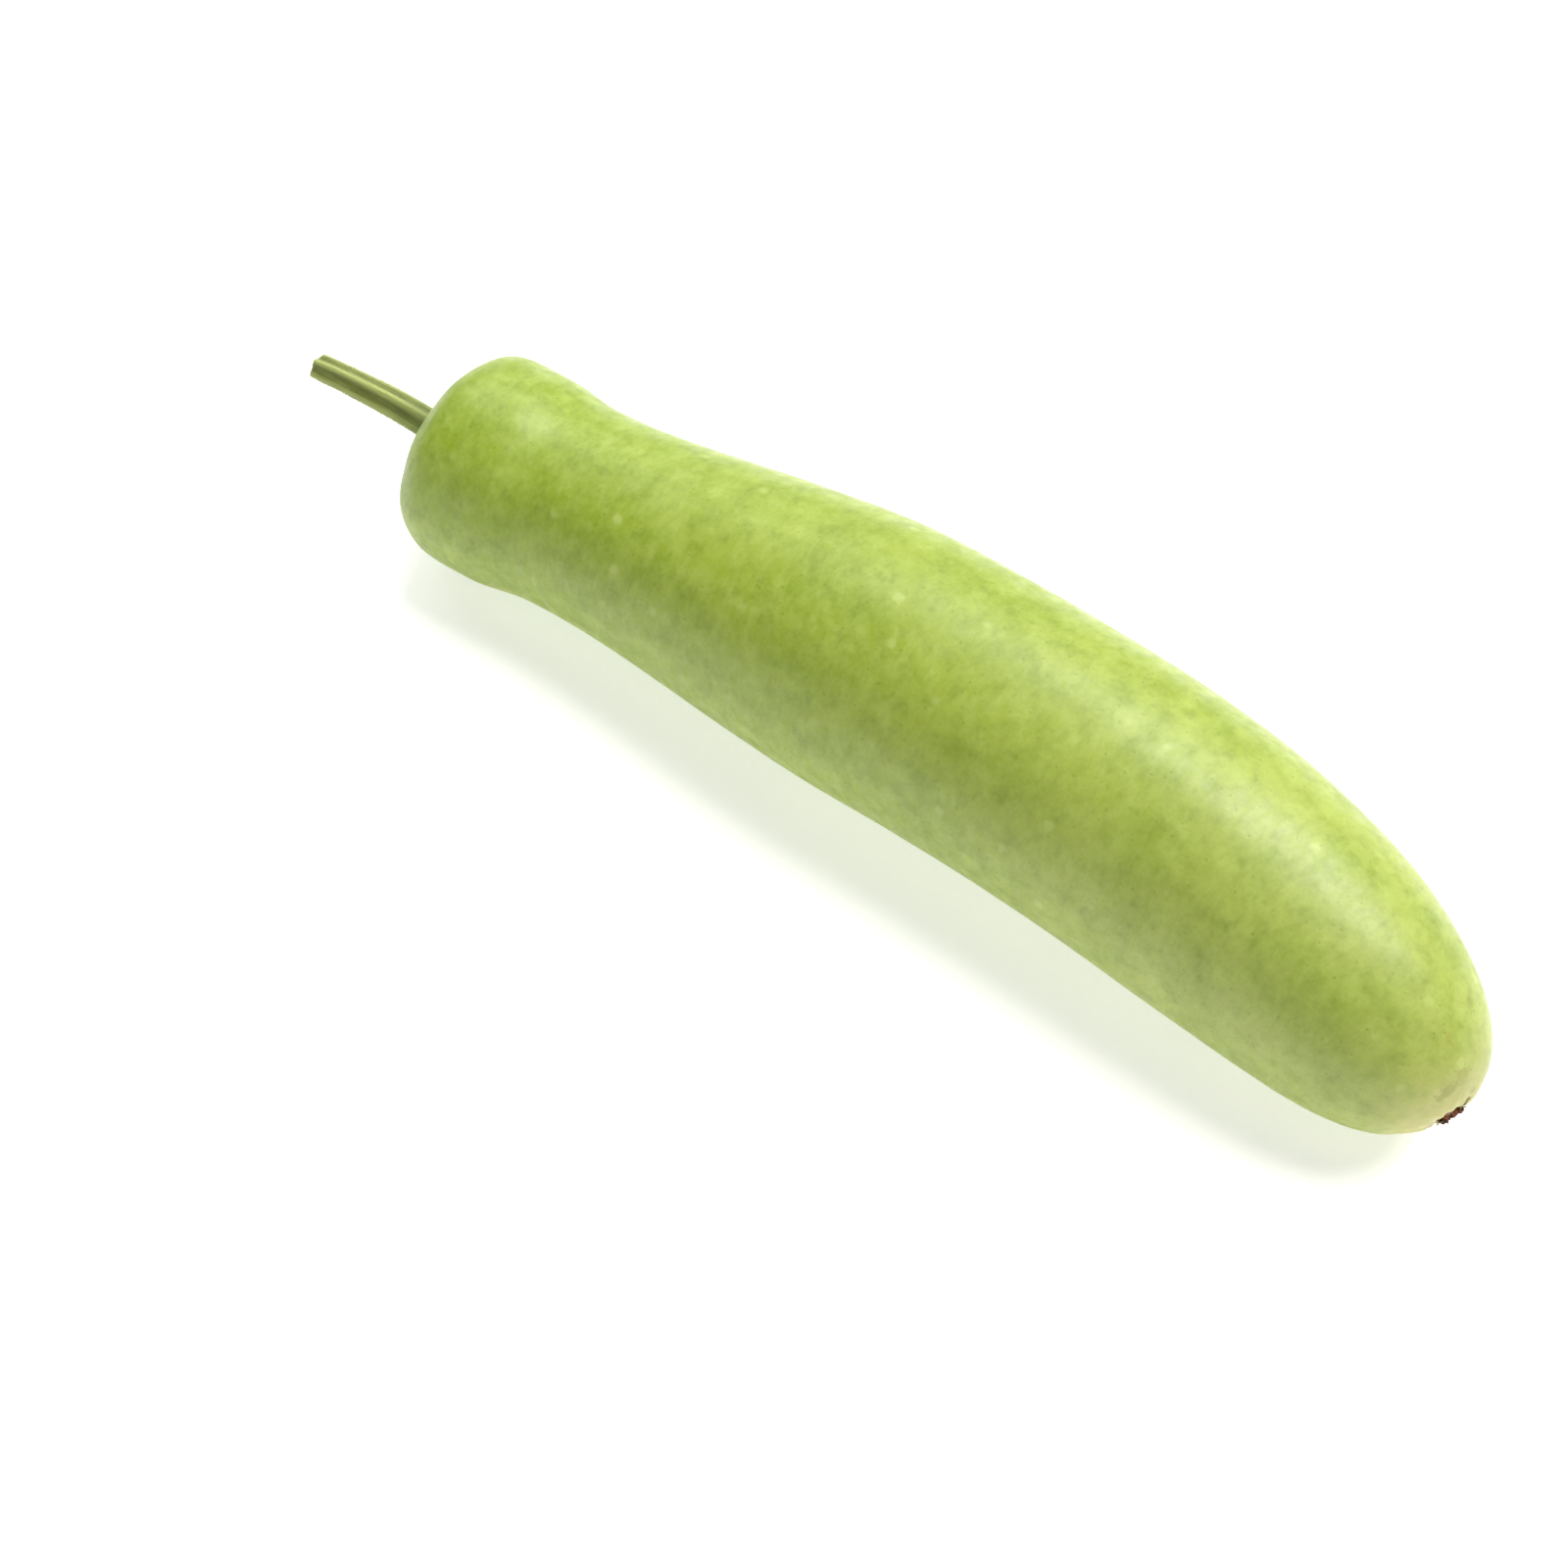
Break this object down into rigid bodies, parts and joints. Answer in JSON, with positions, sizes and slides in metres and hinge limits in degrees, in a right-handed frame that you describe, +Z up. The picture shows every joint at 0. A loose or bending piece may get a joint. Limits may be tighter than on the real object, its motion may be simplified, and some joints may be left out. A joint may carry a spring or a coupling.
{
  "type": "bottle gourd",
  "caption": "Whole tender bottle gourd lying on its side: long, slightly bent body with a slim neck and rounded shoulder, ribbed cut stem and dried blossom scar.",
  "frame": {"origin": "on the surface that the gourd lies on, under the middle of its bounding box", "axes": "+X from the stem end to the blossom end along the gourd's length, +Z up, +Y to the side that the body bows out to"},
  "size_m": [0.4128, 0.0882, 0.0814],
  "materials": {
    "gourd_skin": "smooth, waxy, light green vegetable skin with a satin sheen and faint paler flecks",
    "green_stem": "ribbed, fibrous olive green plant stalk, dull, a little hairy",
    "dried_blossom": "withered, dull, dark brown petal remains"
  },
  "bodies": {
    "root": {"fruit": "gourd_skin", "stem": "green_stem", "blossom_scar": "dried_blossom"}
  },
  "joints": []
}
